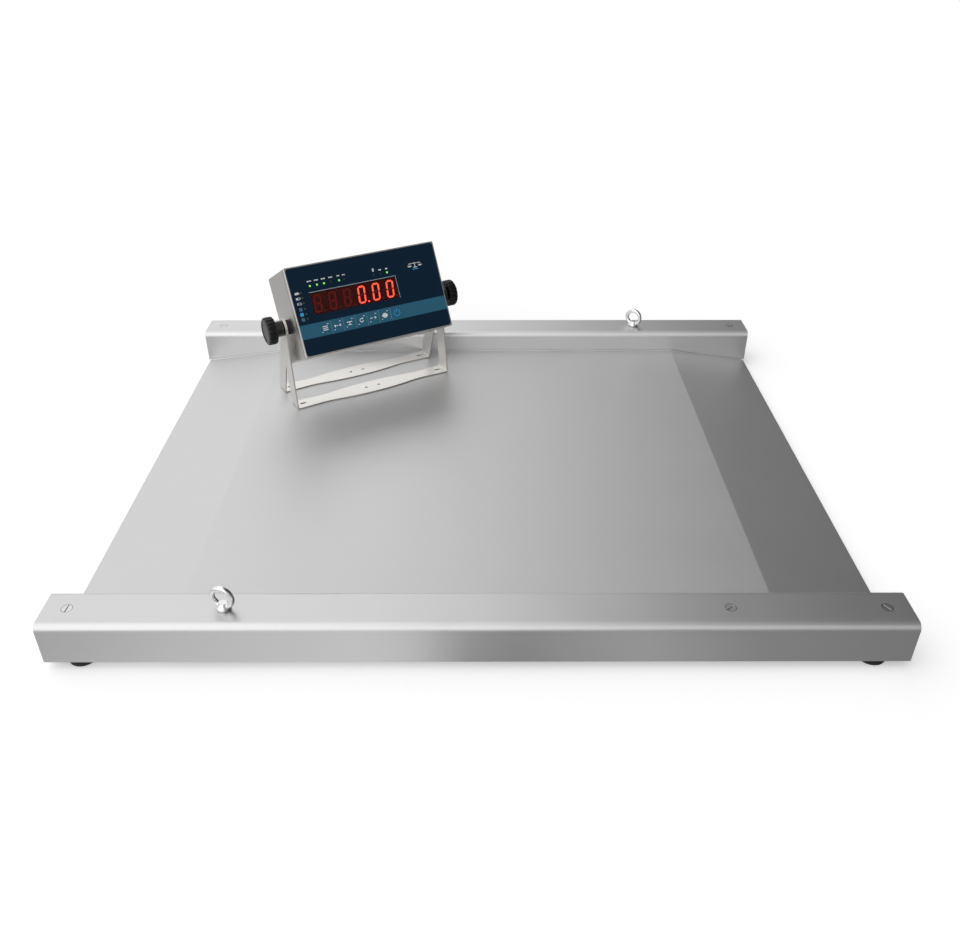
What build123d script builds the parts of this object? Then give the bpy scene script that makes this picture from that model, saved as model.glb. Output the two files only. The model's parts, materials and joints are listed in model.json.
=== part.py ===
from build123d import *
import math
import os

# Low floor scale with side rails, and a tilting indicator on a two-bracket stand. Millimetres.
# Origin: centre of the platform on the floor. X runs along the rails, Y across them, Z up.

# Platform
rail_length = 1125.0
platform_width = 960.0
rail_width = 71.0
rail_top = 73.0
rail_bottom = 12.0
rail_sheet = 3.0
rail_bend = 10.0
deck_flat = 812.0
deck_top = 31.5
deck_sheet_thickness = 3.0
crease_bend = 20.0
ramp_lip = 10.0
nose_bottom = 4.0
nose_bend = 3.2
ramp_end = 562.0
weld_gap = 0.2
rail_centre = platform_width / 2 - rail_width / 2
deck_half = platform_width / 2 - rail_width - weld_gap
rail_inside = rail_top - rail_sheet
sheet_under = deck_top - deck_sheet_thickness

# Ribs and gussets under the deck
rib_width = 40.0
rib_height = 18.0
rib_wall = 2.0
rib_places = [-320.0, -160.0, 0.0, 160.0, 320.0]
gusset_places = [-300.0, -100.0, 100.0, 300.0]
gusset_start = 412.0
gusset_end = 530.0
gusset_bottom = 8.0
gusset_thickness = 4.0

# Fastening points along each rail's centre line
cap_screw_x = 531.0
cap_screw_length = 10.2
plug_length = 15.0
lift_x = 328.0
thread = 8.0
thread_play = 0.05
screw_head = 14.0
slot_width = 1.6
slot_depth = 1.2
cap_nut_size = 16.0
cap_nut_height = 4.0
lift_nut_size = 20.0
lift_nut_height = 14.0
cap_thickness = 3.0
cap_recess = 0.5
cap_flange = 40.0

# Lifting eyebolts
eye_major = 14.0
eye_wire = 4.0
eye_bore = 10.3
eye_height = 36.0
collar_radius = 10.0
collar_height = 4.0
neck_top = 12.0
neck_radius = 5.5
eye_seat = rail_top + 0.3
eye_turns = {-1: -16.0, 1: -32.0}
eye_shank = 15.0

# Load cells, with their spacers and bolts
cell_size = 32.0
cell_length = 130.0
cell_top = 60.0
cell_pocket = 11.0
cell_pocket_depth = 8.0
foot_x = 520.0
foot_y = platform_width / 2 - 21.7
foot_end = 15.0
cell_hole_steps = [76.2, 101.6]
cell_bolt = 12.0
cell_bolt_head = 18.0
cell_bolt_head_height = 7.5
spacer_length = 58.0
spacer_width = 23.0

# Levelling feet
pad_radius = 19.0
pad_height = 15.0
stud_diameter = 12.0
stud_top = 56.0
stud_bottom = 4.0
collar_hex = 17.0
collar_low = 15.2
collar_high = 19.6
nut_hex = 18.0
nut_low = 20.2
nut_high = 27.8

# Junction box and load-cell cables
box_length = 150.0
box_width = 50.0
box_low = 17.0
box_high = 47.0
box_wall = 2.5
box_y = 445.0
lid_thickness = 3.0
post_radius = 4.0
post_inset = 7.0
lid_screw = 4.0
gland_radius = 4.5
gland_length = 6.0
cable_radius = 2.5
cable_y = 452.0
cable_far_z = 35.0
cable_near_z = 44.0
cable_low_z = 22.0
cable_cross_x = 40.0
cable_drop_start = 340.0
cable_drop_end = 270.0
outlet_y = 436.0
outlet_z = 27.0

# Indicator stand, measured in the stand's own frame: x across, y back, z up from the deck
stand_x = -213.0
stand_y = 265.5
stand_turn = 29.5
deck_clearance = 0.2
pivot_height = 150.0
splays = {-1: 20.0, 1: 56.0}
strap_width = 32.0
strap_sheet = 2.0
strap_bend = 4.0
strap_hub = 18.0
bar_waist = 27.0
bar_end_straight = 3.0
bar_middle = 42.0
bar_shoulder = 52.0
bar_narrow = 104.0
front_half = 158.0
rear_half = 155.7
bar_hole = 2.6
bar_hole_gap = 26.0
slot_from_leg = 16.0
bar_slot_length = 12.0
bar_slot_width = 5.0

# Indicator head, measured from the front face: x across, y back, z up from the bottom edge
head_width = 292.0
head_height = 160.0
head_depth = 110.0
head_tilt = 28.0
pivot_back = 58.0
pivot_up = 64.0
head_sheet = 1.5
head_corner = 3.0
cover_depth = 8.0
gasket = 1.0
lip = 8.0
overlay_margin = 2.5
overlay_thickness = 0.4
overlay_corner = 5.0
window_width = 166.0
window_low = 71.0
window_high = 110.0
window_x = -28.0
window_thickness = 2.0
window_proud = 0.2
part_gap = 0.3

# Digits, status lights and keys
digit_count = 6
digit_pitch = 28.1
digit_first = -99.0
digit_size = (27.0, 8.8, 37.0)
digit_front = 3.2
light_radius = 1.5
light_front = 0.3
board_sheet = 1.6
display_board_y = 12.0
display_board_edges = (-132.0, 60.0, 62.0, 134.0)
key_board_y = 10.0
key_board_edges = (-110.0, 56.0, 28.0, 60.0)
top_lights = [-106.5, -93.3, -80.0, -66.3, -51.4, -41.1]
top_lights_z = 122.0
right_lights = [16.0, 29.0, 42.0]
right_lights_z = 119.5
column_lights = [113.0, 104.0, 95.0, 85.0, 76.0, 67.0]
column_lights_x = -125.3
key_first = -98.0
key_pitch = 23.16
key_count = 6
key_z = 45.0
key_width = 19.0
key_height = 20.0
power_x = 42.0
power_radius = 8.5
key_post = 3.0
key_post_end = 4.6
switch_size = 6.0
switch_plunger = 1.75
switch_front = 5.2
switch_body_front = 5.7

# Boards, battery, power supply, pillars and glands inside the head
main_board = (-120.0, 20.0, 20.0, 140.0)
main_board_y = 80.0
# Left, right, low, high and height of the processor, converter, relay, terminal strip and transformer
board_blocks = [
    (-60.0, -40.0, 80.0, 100.0, 2.5),
    (-100.0, -86.0, 90.0, 104.0, 2.5),
    (-20.0, 8.0, 110.0, 130.0, 15.0),
    (-108.0, -8.0, 40.0, 50.0, 10.0),
    (-20.0, 8.0, 62.0, 78.0, 12.0),
]
capacitor_places = [-100.0, -84.0, -68.0]
capacitor_z = 124.0
capacitor_height = 16.0
capacitor_radius = 6.0
battery_size = (90.0, 45.0, 68.0)
battery_centre = (80.0, 68.0, 46.0)
tab_offset = 30.0
tab_width = 6.0
tab_height = 7.0
supply_size = (90.0, 40.0, 46.0)
supply_centre = (80.0, 68.0, 118.0)
vent_pitch = 10.0
vent_width = 3.0
pillar_radius = 3.5
pillar_x = 130.0
pillar_low = 14.0
cover_screw_radius = 2.0
cover_screw_head = 3.8
gland_places = [-100.0, -70.0, -40.0]
gland_z = 30.0
gland_hex = 17.0
gland_thread = 6.0
gland_cap = 8.0
gland_cap_length = 13.0
gland_flange = 5.0
gland_cable = 3.0

# Knobs, their studs, and the spacers between the straps and the head
bush_radius = 10.0
bush_length = 15.0
spacer_radius = 13.0
knob_radius = 25.0
knob_rim = 17.0
knob_hub_radius = 14.0
knob_out = 190.0
knob_flutes = 16
flute_radius = 2.6
stud_inner = 130.0
stud_outer = 182.0


def block(x_range, y_range, z_range):
    # A box between two values on each axis
    spans = (x_range, y_range, z_range)
    middle = [(low + high) / 2 for low, high in spans]
    size = [high - low for low, high in spans]
    return Pos(*middle) * Box(*size)


def upright(x, y, low, high, radius):
    # A cylinder along Z
    return Pos(x, y, (low + high) / 2) * Cylinder(radius, high - low)


def peg(x, z, front, back, radius):
    # A cylinder along Y
    return Pos(x, (front + back) / 2, z) * Rot(90, 0, 0) * Cylinder(radius, back - front)


def axle(inner, outer, y, z, radius, side=1):
    # A cylinder along X, on the side given
    return Pos(side * (inner + outer) / 2, y, z) * Rot(0, 90, 0) * Cylinder(radius, outer - inner)


def hex_prism(x, y, low, high, across_flats):
    face = RegularPolygon(across_flats / 2, 6, major_radius=False)
    return Pos(x, y, low) * extrude(face, high - low)


def group(shapes):
    # Separate solids that share one node
    return Compound([solid for shape in shapes for solid in shape.solids()])


def folded_sheet(plane, points, bends, thickness, width):
    # A bent sheet: an outer line with a radius at each bend, given its thickness inwards
    with BuildPart() as sheet:
        with BuildSketch(plane):
            with BuildLine():
                FilletPolyline(*points, radius=bends)
                offset(amount=thickness, side=Side.RIGHT)
            make_face()
        extrude(amount=width / 2, both=True)
    return sheet.part


# ---------- platform ----------


def deck_sheet():
    # One sheet: nose, ramp, flat deck, ramp, nose
    line = [
        (-ramp_end, nose_bottom),
        (-ramp_end, ramp_lip),
        (-deck_flat / 2, deck_top),
        (deck_flat / 2, deck_top),
        (ramp_end, ramp_lip),
        (ramp_end, nose_bottom),
    ]
    bends = [nose_bend, crease_bend, crease_bend, nose_bend]
    return folded_sheet(Plane.XZ, line, bends, deck_sheet_thickness, 2 * deck_half)


def deck_ribs():
    ribs = []
    top = sheet_under - weld_gap / 2
    for x in rib_places:
        outer = block(
            (x - rib_width / 2, x + rib_width / 2),
            (-deck_half, deck_half),
            (top - rib_height, top),
        )
        hollow = block(
            (x - rib_width / 2 + rib_wall, x + rib_width / 2 - rib_wall),
            (-deck_half, deck_half),
            (top - rib_height + rib_wall, top - rib_wall),
        )
        ribs.append(outer - hollow)
    return group(ribs)


def ramp_underside(x):
    slope = (deck_top - ramp_lip) / (ramp_end - deck_flat / 2)
    along_normal = deck_sheet_thickness / math.cos(math.atan(slope))
    return deck_top - (x - deck_flat / 2) * slope - along_normal - weld_gap


def ramp_gussets():
    # Triangular plates, four under each ramp
    gussets = []
    for side in (-1, 1):
        outline = [
            (side * gusset_start, gusset_bottom),
            (side * gusset_end, gusset_bottom),
            (side * gusset_end, ramp_underside(gusset_end)),
            (side * gusset_start, ramp_underside(gusset_start)),
        ]
        face = make_face(Polyline(*outline, close=True))
        plate = extrude(Plane.XZ * face, gusset_thickness / 2, both=True)
        gussets += [Pos(0, y, 0) * plate for y in gusset_places]
    return group(gussets)


def countersink(x, y, play):
    # The space of a flush screw head in the rail's top sheet
    head = screw_head / 2 + play
    shank = thread / 2 + play
    return Pos(x, y, rail_top - rail_sheet / 2) * Cone(shank, head, rail_sheet)


def rail(side):
    # Folded channel, open below. The near rail is side -1.
    half = rail_width / 2
    line = [(-half, rail_bottom), (-half, rail_top), (half, rail_top), (half, rail_bottom)]
    body = folded_sheet(Plane.YZ, line, rail_bend, rail_sheet, rail_length)
    body = Pos(0, side * rail_centre, 0) * body
    for x in (-cap_screw_x, cap_screw_x, -side * lift_x):
        body -= countersink(x, side * rail_centre, 0.1)
    body -= upright(side * lift_x, side * rail_centre, rail_inside - 1, rail_top + 1, thread / 2 + 0.5)
    wall = (platform_width / 2 - rail_width, platform_width / 2 - rail_width + rail_sheet)
    for x in (-cable_cross_x, cable_cross_x):
        inner_wall = (wall[0] - 1, wall[1] + 1) if side > 0 else (-wall[1] - 1, 1 - wall[0])
        body -= peg(x, cable_low_z, inner_wall[0], inner_wall[1], gland_radius)
    return body


def rail_end_caps():
    # A plate across each rail end, with a flange under the rail's top for its screw
    half = rail_width / 2 - rail_sheet - weld_gap
    outer = rail_length / 2 - cap_recess
    inner = outer - cap_thickness
    top = rail_inside - weld_gap
    cap = block((inner, outer), (-half, half), (rail_bottom + weld_gap, top))
    top_corners = cap.edges().filter_by(Axis.X).group_by(Axis.Z)[-1]
    cap = fillet(top_corners, rail_bend - rail_sheet)
    cap += block((inner - cap_flange, inner), (-cap_flange / 2, cap_flange / 2), (top - cap_thickness, top))
    cap -= upright(cap_screw_x, 0, top - cap_thickness - 1, top + 1, thread / 2 + 0.2)
    right = [Pos(0, y, 0) * cap for y in (-rail_centre, rail_centre)]
    left = [Pos(0, y, 0) * Rot(0, 0, 180) * cap for y in (-rail_centre, rail_centre)]
    return group(right + left)


def slotted_screw(x, y, length, slot_angle):
    head_top = rail_top - 0.05
    head = Pos(x, y, head_top - rail_sheet / 2) * Cone(thread / 2, screw_head / 2, rail_sheet)
    screw = head + upright(x, y, head_top - length, head_top - rail_sheet, thread / 2)
    slot = Pos(x, y, head_top) * Rot(0, 0, slot_angle) * Box(screw_head + 2, slot_width, 2 * slot_depth)
    return screw - slot


def slotted_screws():
    screws = []
    for side in (-1, 1):
        y = side * rail_centre
        screws.append(slotted_screw(-cap_screw_x, y, cap_screw_length, 35 - 50 * side))
        screws.append(slotted_screw(cap_screw_x, y, cap_screw_length, 60 * side))
        screws.append(slotted_screw(-side * lift_x, y, plug_length, 40))
    return group(screws)


def weld_nuts():
    nuts = []
    cap_top = rail_inside - weld_gap - cap_thickness
    lift_top = rail_inside - weld_gap
    for y in (-rail_centre, rail_centre):
        for side in (-1, 1):
            small = upright(side * cap_screw_x, y, cap_top - cap_nut_height, cap_top, cap_nut_size / 2)
            large = upright(side * lift_x, y, lift_top - lift_nut_height, lift_top, lift_nut_size / 2)
            small -= upright(side * cap_screw_x, y, 0, rail_top, thread / 2 + thread_play)
            large -= upright(side * lift_x, y, 0, rail_top, thread / 2 + thread_play)
            nuts += [small, large]
    return group(nuts)


def eyebolt(side):
    # Forged ring on a collar and a threaded shank
    ring_z = eye_seat + eye_height - eye_major - eye_wire
    ring = Pos(0, 0, ring_z) * Rot(90, 0, 0) * Torus(eye_major, eye_wire)
    collar = upright(0, 0, eye_seat, eye_seat + collar_height, collar_radius)
    neck_height = neck_top - collar_height
    neck_middle = eye_seat + collar_height + neck_height / 2
    neck = Pos(0, 0, neck_middle) * Cone(collar_radius, neck_radius, neck_height)
    shank = upright(0, 0, eye_seat - eye_shank, eye_seat, thread / 2)
    bolt = ring + collar + neck + shank
    bolt -= peg(0, ring_z, -collar_radius - 1, collar_radius + 1, eye_bore)
    return Pos(side * lift_x, side * rail_centre, 0) * Rot(0, 0, eye_turns[side]) * bolt


def corners():
    return [(sx, sy) for sy in (-1, 1) for sx in (-1, 1)]


def load_cells():
    # Shear beams: the foot screws into the free end, two bolts hold the fixed end
    cells = []
    for sx, sy in corners():
        free = foot_x + foot_end
        y = sy * foot_y
        half = cell_size / 2
        x_range = sorted((sx * free, sx * (free - cell_length)))
        beam = block(x_range, (y - half, y + half), (cell_top - cell_size, cell_top))
        beam = chamfer(beam.edges().filter_by(Axis.X), 1.0)
        middle = sx * (foot_x - cell_hole_steps[0] / 2)
        for face in (-1, 1):
            floor = face * (half - cell_pocket_depth)
            rim = face * (half + 1)
            span = sorted((y + floor, y + rim))
            beam -= peg(middle, cell_top - half, span[0], span[1], cell_pocket)
        beam -= upright(sx * foot_x, y, 0, rail_top, stud_diameter / 2 + thread_play)
        for step in cell_hole_steps:
            beam -= upright(sx * (foot_x - step), y, 0, rail_top, cell_bolt / 2 + 0.5)
        cells.append(beam)
    return group(cells)


def cell_spacers():
    plates = []
    middle = foot_x - sum(cell_hole_steps) / 2
    for sx, sy in corners():
        x = sx * middle
        y = sy * foot_y
        plate = block(
            (x - spacer_length / 2, x + spacer_length / 2),
            (y - spacer_width / 2, y + spacer_width / 2),
            (cell_top + weld_gap / 2, rail_inside - weld_gap / 2),
        )
        for step in cell_hole_steps:
            plate -= upright(sx * (foot_x - step), y, 0, rail_top, cell_bolt / 2 + 0.1)
        plates.append(plate)
    return group(plates)


def cell_bolts():
    bolts = []
    seat = cell_top - cell_size
    for sx, sy in corners():
        for step in cell_hole_steps:
            x = sx * (foot_x - step)
            y = sy * foot_y
            head = hex_prism(x, y, seat - cell_bolt_head_height, seat, cell_bolt_head)
            bolts.append(head + upright(x, y, seat, rail_inside - 1, cell_bolt / 2))
    return group(bolts)


def lock_nuts():
    nuts = []
    for sx, sy in corners():
        nut = hex_prism(sx * foot_x, sy * foot_y, nut_low, nut_high, nut_hex)
        nuts.append(nut - upright(sx * foot_x, sy * foot_y, 0, rail_top, stud_diameter / 2 + thread_play))
    return group(nuts)


def foot_pad(sx, sy):
    pad = upright(0, 0, 0, pad_height, pad_radius)
    rims = pad.edges().filter_by(GeomType.CIRCLE).sort_by(Axis.Z)
    pad = fillet(rims[0], 3.0)
    rims = pad.edges().filter_by(GeomType.CIRCLE).sort_by(Axis.Z)
    pad = fillet(rims[-1], 6.0)
    pad -= upright(0, 0, stud_bottom, pad_height + 1, stud_diameter / 2 + thread_play)
    return Pos(sx * foot_x, sy * foot_y, 0) * pad


def foot_stud(sx, sy):
    stud = upright(0, 0, stud_bottom, stud_top, stud_diameter / 2)
    tip = stud.edges().filter_by(GeomType.CIRCLE).sort_by(Axis.Z)[-1]
    stud = chamfer(tip, 1.0)
    stud += hex_prism(0, 0, collar_low, collar_high, collar_hex)
    return Pos(sx * foot_x, sy * foot_y, 0) * stud


def box_posts():
    x = box_length / 2 - post_inset
    y = box_width / 2 - post_inset
    return [(sx * x, box_y + sy * y) for sx, sy in corners()]


def junction_box():
    # Open below, with a post for each lid screw
    half_x = box_length / 2
    half_y = box_width / 2
    box = block((-half_x, half_x), (box_y - half_y, box_y + half_y), (box_low, box_high))
    box = fillet(box.edges().filter_by(Axis.Z), 4.0)
    box -= block(
        (-half_x + box_wall, half_x - box_wall),
        (box_y - half_y + box_wall, box_y + half_y - box_wall),
        (box_low - 1, box_high - box_wall),
    )
    for x, y in box_posts():
        box += upright(x, y, box_low, box_high - box_wall / 2, post_radius)
        box -= upright(x, y, box_low - 1, box_high - 2 * box_wall, lid_screw / 2)
    return box


def junction_lid():
    half_x = box_length / 2
    half_y = box_width / 2
    low = box_low - lid_thickness
    lid = block((-half_x, half_x), (box_y - half_y, box_y + half_y), (low, box_low))
    lid = fillet(lid.edges().filter_by(Axis.Z), 4.0)
    for x, y in box_posts():
        lid -= upright(x, y, low - 1, box_low + 1, lid_screw / 2 + 0.1)
    return lid


def junction_screws():
    screws = []
    low = box_low - lid_thickness
    for x, y in box_posts():
        head = upright(x, y, low - 1.6, low, lid_screw * 0.9)
        screws.append(head + upright(x, y, low, box_low + 12, lid_screw / 2))
    return group(screws)


def junction_standoffs():
    top = rail_inside - weld_gap
    return group([upright(x, box_y, box_high, top, post_radius) for x in (-50.0, 50.0)])


def junction_glands():
    # Two for the far cells, two for the near cells and one outlet
    glands = []
    end = box_length / 2
    for side in (-1, 1):
        glands.append(axle(end, end + gland_length, cable_y, cable_far_z, gland_radius, side))
        wall = box_y - box_width / 2
        glands.append(peg(side * cable_cross_x, cable_low_z, wall - gland_length, wall, gland_radius))
    outlet = axle(end, end + 3 * gland_length, outlet_y, outlet_z, gland_radius)
    outlet -= axle(end + gland_length, end + 4 * gland_length, outlet_y, outlet_z, cable_radius)
    return group(glands + [outlet])


def cell_cables():
    # Far cells: straight to the box. Near cells: along their rail, then across under the deck.
    cables = []
    cell_end = foot_x + foot_end - cell_length
    for side in (-1, 1):
        cables.append(
            axle(box_length / 2 + gland_length, cell_end, cable_y, cable_far_z, cable_radius, side)
        )
        route = FilletPolyline(
            (side * cell_end, -cable_y, cable_near_z),
            (side * cable_drop_start, -cable_y, cable_near_z),
            (side * cable_drop_end, -cable_y, cable_low_z),
            (side * cable_cross_x, -cable_y, cable_low_z),
            (side * cable_cross_x, box_y - box_width / 2 - gland_length, cable_low_z),
            radius=[60, 60, 30],
        )
        section = Plane(origin=route @ 0, z_dir=route % 0) * Circle(cable_radius)
        cables.append(sweep(section, route))
    return group(cables)


# ---------- indicator stand ----------


def on_stand(shape):
    # From the stand's own frame to the platform
    return Pos(stand_x, stand_y, deck_top + deck_clearance) * Rot(0, 0, stand_turn) * shape


def strap_leg(lean):
    # Side view of one leaning leg: straight edges up to a round head on the pivot
    angle = math.degrees(math.atan2(splays[lean], pivot_height)) * lean
    length = math.hypot(splays[lean], pivot_height) + 2 * strap_width
    across = strap_width * math.cos(math.radians(angle))
    bar = Pos(0, 0, -length / 2) * Box(2 * front_half + 10, across, length)
    leg = Pos(0, 0, pivot_height) * Rot(angle, 0, 0) * bar
    head = Pos(0, 0, pivot_height) * Rot(0, 90, 0) * Cylinder(strap_hub, 2 * front_half + 10)
    return leg + head


def bar_plan(lean, half):
    # Plan view of the bottom bar: it narrows from the legs, then swells smoothly to its middle
    end = strap_width / 2
    narrow = bar_waist / 2
    wide = bar_middle / 2
    straight = half - bar_end_straight
    edge = [
        (-half, end),
        (-straight, end),
        (-bar_narrow, narrow),
        (-bar_shoulder, (narrow + 2 * wide) / 3),
        (0, wide),
        (bar_shoulder, (narrow + 2 * wide) / 3),
        (bar_narrow, narrow),
        (straight, end),
        (half, end),
    ]
    top = Polyline(*edge[:3]) + Spline(*edge[2:7], tangents=[(1, 0), (1, 0)]) + Polyline(*edge[6:])
    bottom = mirror(top, Plane.XZ)
    sides = Line(edge[0], (-half, -end)) + Line(edge[-1], (half, -end))
    return Pos(0, lean * splays[lean], 0) * make_face(top + bottom + sides)


def strap_bracket(lean, half):
    # A flat strap bent into a U: two leaning legs and a bar on the deck. lean is -1 in front.
    top = pivot_height + strap_hub
    line = [(-half, top), (-half, 0), (half, 0), (half, top)]
    tray = folded_sheet(Plane.XZ, list(reversed(line)), strap_bend, strap_sheet, 200.0)
    inside = half - strap_bend
    legs = tray & strap_leg(lean)
    legs -= Box(2 * inside, 400, 400)
    bar = extrude(bar_plan(lean, inside + 0.5), strap_sheet)
    bracket = legs + bar
    bracket -= Pos(0, 0, pivot_height) * Rot(0, 90, 0) * Cylinder(thread / 2 + 0.25, 2 * half + 10)
    y = lean * splays[lean]
    for side in (-1, 1):
        bracket -= upright(side * bar_hole_gap / 2, y, -1, strap_sheet + 1, bar_hole)
        slot = extrude(SlotOverall(bar_slot_length, bar_slot_width), 4 * strap_sheet, both=True)
        bracket -= Pos(side * (half - slot_from_leg), y, 0) * slot
    return on_stand(bracket)


# ---------- indicator head ----------


def on_head(shape):
    # From the head's own frame to the platform
    tilt = Pos(0, 0, pivot_height) * Rot(-head_tilt, 0, 0) * Pos(0, -pivot_back, -pivot_up)
    return on_stand(tilt * shape)


def head_block(inset, front, back):
    half = head_width / 2 - inset
    return block((-half, half), (front, back), (inset, head_height - inset))


def key_centres():
    return [key_first + key_pitch * i for i in range(key_count)]


def light_places():
    top = [(x, top_lights_z) for x in top_lights]
    right = [(x, right_lights_z) for x in right_lights]
    column = [(column_lights_x, z) for z in column_lights]
    return top + right + column


def key_openings(front, back):
    play = part_gap
    half_x = key_width / 2 + play
    half_z = key_height / 2 + play
    spaces = [
        block((x - half_x, x + half_x), (front, back), (key_z - half_z, key_z + half_z))
        for x in key_centres()
    ]
    return spaces + [peg(power_x, key_z, front, back, power_radius + play)]


def window_opening(front, back, play):
    half = window_width / 2 + play
    return block(
        (window_x - half, window_x + half), (front, back), (window_low - play, window_high + play)
    )


def head_shell():
    # Rear housing: a deep tray, open at the front inside its gasket lip
    front = cover_depth + gasket
    shell = head_block(0, front, head_depth)
    shell = fillet(shell.edges().filter_by(Axis.Y), head_corner)
    shell = fillet(shell.faces().sort_by(Axis.Y)[-1].edges(), head_corner / 2)
    shell -= head_block(head_sheet, front + head_sheet, head_depth - head_sheet)
    shell -= head_block(lip, front - 1, front + head_sheet + 1)
    for side in (-1, 1):
        shell -= axle(head_width / 2 - 5, head_width / 2 + 5, pivot_back, pivot_up, 4.6, side)
    for x in gland_places:
        shell -= peg(x, gland_z, head_depth - 5, head_depth + 5, gland_thread + 0.2)
    for x, z in long_pillar_places():
        shell -= peg(x, z, head_depth - 5, head_depth + 5, cover_screw_radius + 0.2)
    return on_head(shell)


def front_cover():
    # Shallow tray with openings for the window, the keys and the lights
    cover = head_block(0, 0, cover_depth)
    cover = fillet(cover.edges().filter_by(Axis.Y), head_corner)
    cover = fillet(cover.faces().sort_by(Axis.Y)[0].edges(), 1.2)
    cover -= head_block(head_sheet, head_sheet, cover_depth + 1)
    cover -= window_opening(-1, head_sheet + 1, 0.2)
    for space in key_openings(-1, head_sheet + 1):
        cover -= space
    for x, z in light_places():
        cover -= peg(x, z, -1, head_sheet + 1, light_radius + 0.1)
    return on_head(cover)


def cover_gasket():
    low = cover_depth
    ring = head_block(head_sheet, low, low + gasket) - head_block(lip, low - 1, low + gasket + 1)
    return on_head(ring)


def front_overlay():
    # Printed membrane on the cover, cut out round the window and the keys
    margin = overlay_margin
    sheet = head_block(margin, -overlay_thickness, 0)
    sheet = fillet(sheet.edges().filter_by(Axis.Y), overlay_corner)
    sheet -= window_opening(-1, 1, 0.2)
    for space in key_openings(-1, 1):
        sheet -= space
    return on_head(sheet)


def display_window():
    return on_head(window_opening(-window_proud, window_thickness - window_proud, 0))


def digit_modules():
    width, depth, height = digit_size
    middle = (window_low + window_high) / 2
    modules = []
    for i in range(digit_count):
        x = digit_first + digit_pitch * i
        module = block(
            (x - width / 2, x + width / 2),
            (digit_front, digit_front + depth),
            (middle - height / 2, middle + height / 2),
        )
        modules.append(module)
    return on_head(group(modules))


def status_lights():
    lights = [peg(x, z, light_front, display_board_y, light_radius) for x, z in light_places()]
    return on_head(group(lights))


def display_board():
    left, right, low, high = display_board_edges
    return on_head(block((left, right), (display_board_y, display_board_y + board_sheet), (low, high)))


def key_cap(x, round_radius=None):
    # A key's piece of membrane and the post behind it that works its switch
    if round_radius:
        face = peg(x, key_z, -overlay_thickness, 0, round_radius)
    else:
        face = block(
            (x - key_width / 2, x + key_width / 2),
            (-overlay_thickness, 0),
            (key_z - key_height / 2, key_z + key_height / 2),
        )
    return on_head(face + peg(x, key_z, 0, key_post_end, key_post))


def key_board():
    left, right, low, high = key_board_edges
    return on_head(block((left, right), (key_board_y, key_board_y + board_sheet), (low, high)))


def key_switches():
    half = switch_size / 2
    switches = []
    for x in key_centres() + [power_x]:
        body = block((x - half, x + half), (switch_body_front, key_board_y), (key_z - half, key_z + half))
        switches.append(body + peg(x, key_z, switch_front, switch_body_front, switch_plunger))
    return on_head(group(switches))


def long_pillar_places():
    high = head_height - pillar_low
    return [(sx * pillar_x, z) for sx in (-1, 1) for z in (pillar_low, high)]


def short_pillar_places():
    left, right, low, high = main_board
    inset = 6.0
    return [(x, z) for x in (left + inset, right - inset) for z in (low + inset, high - inset)]


def pillars():
    # Long pillars join the cover to the back. Short ones carry the main board.
    posts = []
    back = head_depth - head_sheet
    for x, z in long_pillar_places():
        post = peg(x, z, head_sheet, back, pillar_radius)
        posts.append(post - peg(x, z, back - 12, back + 1, cover_screw_radius))
    for x, z in short_pillar_places():
        posts.append(peg(x, z, main_board_y + board_sheet, back, pillar_radius))
    return on_head(group(posts))


def cover_screws():
    screws = []
    for x, z in long_pillar_places():
        head = peg(x, z, head_depth, head_depth + 2.4, cover_screw_head)
        head = fillet(head.faces().sort_by(Axis.Y)[-1].edges(), 1.2)
        head -= peg(x, z, head_depth + 1.0, head_depth + 3.0, 1.2)
        screws.append(head + peg(x, z, head_depth - 11, head_depth, cover_screw_radius))
    return on_head(group(screws))


def main_board_plate():
    left, right, low, high = main_board
    return on_head(block((left, right), (main_board_y, main_board_y + board_sheet), (low, high)))


def board_parts():
    face = main_board_y
    pieces = [
        block((left, right), (face - height, face), (low, high))
        for left, right, low, high, height in board_blocks
    ]
    for x in capacitor_places:
        pieces.append(peg(x, capacitor_z, face - capacitor_height, face, capacitor_radius))
    return on_head(group(pieces))


def cell_block(size, centre):
    spans = [(middle - length / 2, middle + length / 2) for length, middle in zip(size, centre)]
    return block(*spans)


def battery():
    # Sealed battery with its two tabs on top
    case = cell_block(battery_size, battery_centre)
    case = fillet(case.edges().filter_by(Axis.Z), 3.0)
    top = battery_centre[2] + battery_size[2] / 2
    depth = battery_centre[1]
    for side in (-1, 1):
        x = battery_centre[0] + side * tab_offset
        across = (x - tab_width / 2, x + tab_width / 2)
        case += block(across, (depth - 0.5, depth + 0.5), (top, top + tab_height))
    return on_head(case)


def power_supply():
    case = cell_block(supply_size, supply_centre)
    low = supply_centre[2] - supply_size[2] / 2
    high = supply_centre[2] + supply_size[2] / 2
    front = supply_centre[1] - supply_size[1] / 2
    for i in range(-3, 4):
        x = supply_centre[0] + vent_pitch * i
        case -= block((x - vent_width / 2, x + vent_width / 2), (front - 1, front + 2), (low + 6, high - 6))
    return on_head(case)


def cable_glands():
    # Nut inside, hexagon and domed cap outside, one through bore
    glands = []
    back = head_depth
    for x in gland_places:
        flange = hex_prism(0, 0, 0, gland_flange, gland_hex)
        flange = Pos(x, back + gland_flange, gland_z) * Rot(90, 0, 0) * flange
        cap_end = back + gland_flange + gland_cap_length
        cap = peg(x, gland_z, back + gland_flange, cap_end, gland_cap)
        cap = fillet(cap.faces().sort_by(Axis.Y)[-1].edges(), 3.0)
        neck = peg(x, gland_z, back - 10, back, gland_thread)
        nut = Pos(x, back - head_sheet, gland_z) * Rot(90, 0, 0) * hex_prism(0, 0, 0, 4, gland_hex)
        glands.append(flange + cap + neck + nut - peg(x, gland_z, back - 11, cap_end + 1, gland_cable))
    return on_head(group(glands))


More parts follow.
